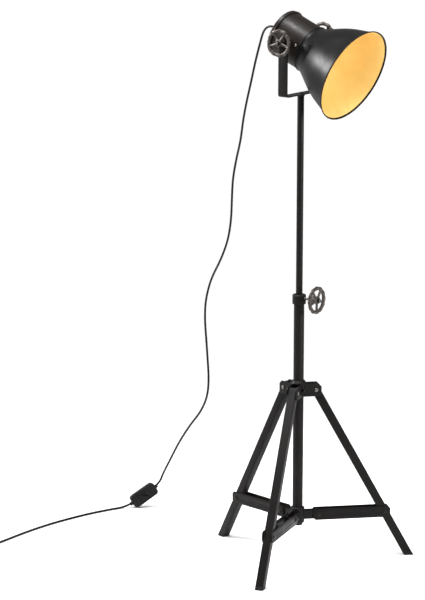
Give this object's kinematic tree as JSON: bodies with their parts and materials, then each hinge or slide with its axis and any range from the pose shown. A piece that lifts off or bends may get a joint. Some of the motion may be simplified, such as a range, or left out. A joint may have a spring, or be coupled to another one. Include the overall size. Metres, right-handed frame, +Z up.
{
  "type": "tripod floor lamp",
  "caption": "Folding tripod floor lamp: telescopic mast with clamp collar, yoke with handwheels, tilting bell shade on a round housing, foot switch on the cord.",
  "frame": {"origin": "floor level, under the middle of the lamp's own box, without the free cord", "axes": "+Z up along the column; the head points about 36 degrees clockwise of +X seen from above; the picture's camera looks along +Y"},
  "size_m": [1.2456, 0.8577, 1.4892],
  "materials": {
    "cast_iron": "satin, sand-cast grain",
    "stand_paint": "satin black enamel",
    "housing_paint": "satin black enamel",
    "shade_paint": "gloss black enamel outside, warm gold inside",
    "gold_paint": "satin gold lining",
    "steel": "zinc plated",
    "black_plastic": "fine moulded grain",
    "brass": "plain",
    "cord_sheath": "smooth PVC sheath"
  },
  "bodies": {
    "stand": {"column_tube": "stand_paint", "column_base_plug": "black_plastic", "lower_hub": "stand_paint", "mast_collar": "stand_paint", "cord_drop": "cord_sheath", "cord_floor": "cord_sheath", "cord_coil": "cord_sheath", "cord_tail": "cord_sheath", "switch_base": "black_plastic", "switch_cover": "black_plastic", "mains_plug": "black_plastic"},
    "hub": {"upper_hub": "stand_paint", "hub_set_screw": "steel", "leg_hinge_bolt_1": "steel", "leg_hinge_bolt_2": "steel", "leg_hinge_bolt_3": "steel"},
    "mast": {"mast_tube": "stand_paint", "mast_guide_bush": "black_plastic", "mast_cap": "stand_paint", "yoke_nut": "steel", "cord_middle": "cord_sheath"},
    "yoke": {"yoke": "stand_paint", "cord_top": "cord_sheath"},
    "head": {"lamp_housing": "housing_paint", "rear_cap": "housing_paint", "shade": "shade_paint", "pivot_boss_near": "housing_paint", "pivot_boss_far": "housing_paint", "holder_bracket": "housing_paint", "lampholder_shell": "black_plastic", "lampholder_thread": "brass", "holder_nipple": "steel", "cable_gland": "black_plastic", "housing_screw": "steel"},
    "tilt_wheel_near": {"tilt_wheel_near": "cast_iron", "tilt_wheel_near_stud": "steel"},
    "tilt_wheel_far": {"tilt_wheel_far": "cast_iron", "tilt_wheel_far_stud": "steel"},
    "height_wheel": {"height_wheel": "cast_iron", "height_wheel_stud": "steel"},
    "switch_pedal": {"switch_pedal": "black_plastic"},
    "leg_1": {"leg_1": "stand_paint", "foot_1": "black_plastic"},
    "brace_1": {"brace_1": "stand_paint", "brace_hinge_bolt_1": "steel", "leg_pin_1_left": "steel", "leg_pin_1_right": "steel"},
    "leg_2": {"leg_2": "stand_paint", "foot_2": "black_plastic"},
    "brace_2": {"brace_2": "stand_paint", "brace_hinge_bolt_2": "steel", "leg_pin_2_left": "steel", "leg_pin_2_right": "steel"},
    "leg_3": {"leg_3": "stand_paint", "foot_3": "black_plastic"},
    "brace_3": {"brace_3": "stand_paint", "brace_hinge_bolt_3": "steel", "leg_pin_3_left": "steel", "leg_pin_3_right": "steel"}
  },
  "joints": [
    {"name": "hub_slide", "type": "slide", "parent": "stand", "child": "hub", "axis": [0, 0, 1], "range_m": [0, 0.2]},
    {"name": "leg_1_hinge", "type": "hinge", "parent": "hub", "child": "leg_1", "pos_m": [-0.06217, -0.01288, 0.472], "axis": [0.9494, -0.314, 0], "range_deg": [0, 15.24]},
    {"name": "leg_2_hinge", "type": "hinge", "parent": "hub", "child": "leg_2", "pos_m": [-0.00268, 0.04012, 0.472], "axis": [-0.2028, 0.9792, 0], "range_deg": [0, 15.24]},
    {"name": "leg_3_hinge", "type": "hinge", "parent": "hub", "child": "leg_3", "pos_m": [-0.07833, 0.06513, 0.472], "axis": [-0.7466, -0.6652, 0], "range_deg": [0, 15.24]},
    {"name": "brace_1_hinge", "type": "hinge", "parent": "stand", "child": "brace_1", "pos_m": [-0.06531, -0.02238, 0.126], "axis": [-0.9494, 0.314, 0], "range_deg": [0, 62.28]},
    {"name": "brace_2_hinge", "type": "hinge", "parent": "stand", "child": "brace_2", "pos_m": [0.00711, 0.04215, 0.126], "axis": [0.2028, -0.9792, 0], "range_deg": [0, 62.28]},
    {"name": "brace_3_hinge", "type": "hinge", "parent": "stand", "child": "brace_3", "pos_m": [-0.08498, 0.0726, 0.126], "axis": [0.7466, 0.6652, 0], "range_deg": [0, 62.28]},
    {"name": "mast_slide", "type": "slide", "parent": "stand", "child": "mast", "axis": [0, 0, 1], "range_m": [-0.4, 0], "deforming": ["cord_drop"]},
    {"name": "yoke_swivel", "type": "hinge", "parent": "mast", "child": "yoke", "pos_m": [-0.04773, 0.03079, 1.271], "axis": [0, 0, 1], "range_deg": [-170, 170], "deforming": ["cord_middle"]},
    {"name": "head_tilt", "type": "hinge", "parent": "yoke", "child": "head", "pos_m": [-0.04773, 0.03079, 1.416], "axis": [0.5878, 0.809, 0], "range_deg": [-75, 11], "deforming": ["cord_top"]},
    {"name": "tilt_knob_near", "type": "hinge", "parent": "head", "child": "tilt_wheel_near", "pos_m": [-0.10533, -0.04849, 1.416], "axis": [-0.5878, -0.809, 0], "range_deg": [-720, 0]},
    {"name": "tilt_knob_far", "type": "hinge", "parent": "head", "child": "tilt_wheel_far", "pos_m": [0.00987, 0.11007, 1.416], "axis": [0.5878, 0.809, 0], "range_deg": [-720, 0]},
    {"name": "height_knob", "type": "hinge", "parent": "stand", "child": "height_wheel", "pos_m": [-0.00129, -0.00295, 0.7235], "axis": [0.809, -0.5878, 0], "range_deg": [-720, 0]},
    {"name": "switch_press", "type": "slide", "parent": "stand", "child": "switch_pedal", "axis": [-0.2386, 0.9599, -0.1473], "range_m": [0, 0.0025], "stiffness_N_per_m": 400}
  ],
  "couplings": [
    {"joint": "leg_1_hinge", "follows": "hub_slide", "rad_per_m": 1.3285},
    {"joint": "leg_2_hinge", "follows": "hub_slide", "rad_per_m": 1.3285},
    {"joint": "leg_3_hinge", "follows": "hub_slide", "rad_per_m": 1.3285},
    {"joint": "brace_1_hinge", "follows": "hub_slide", "rad_per_m": 5.4333},
    {"joint": "brace_2_hinge", "follows": "hub_slide", "rad_per_m": 5.4333},
    {"joint": "brace_3_hinge", "follows": "hub_slide", "rad_per_m": 5.4333}
  ]
}
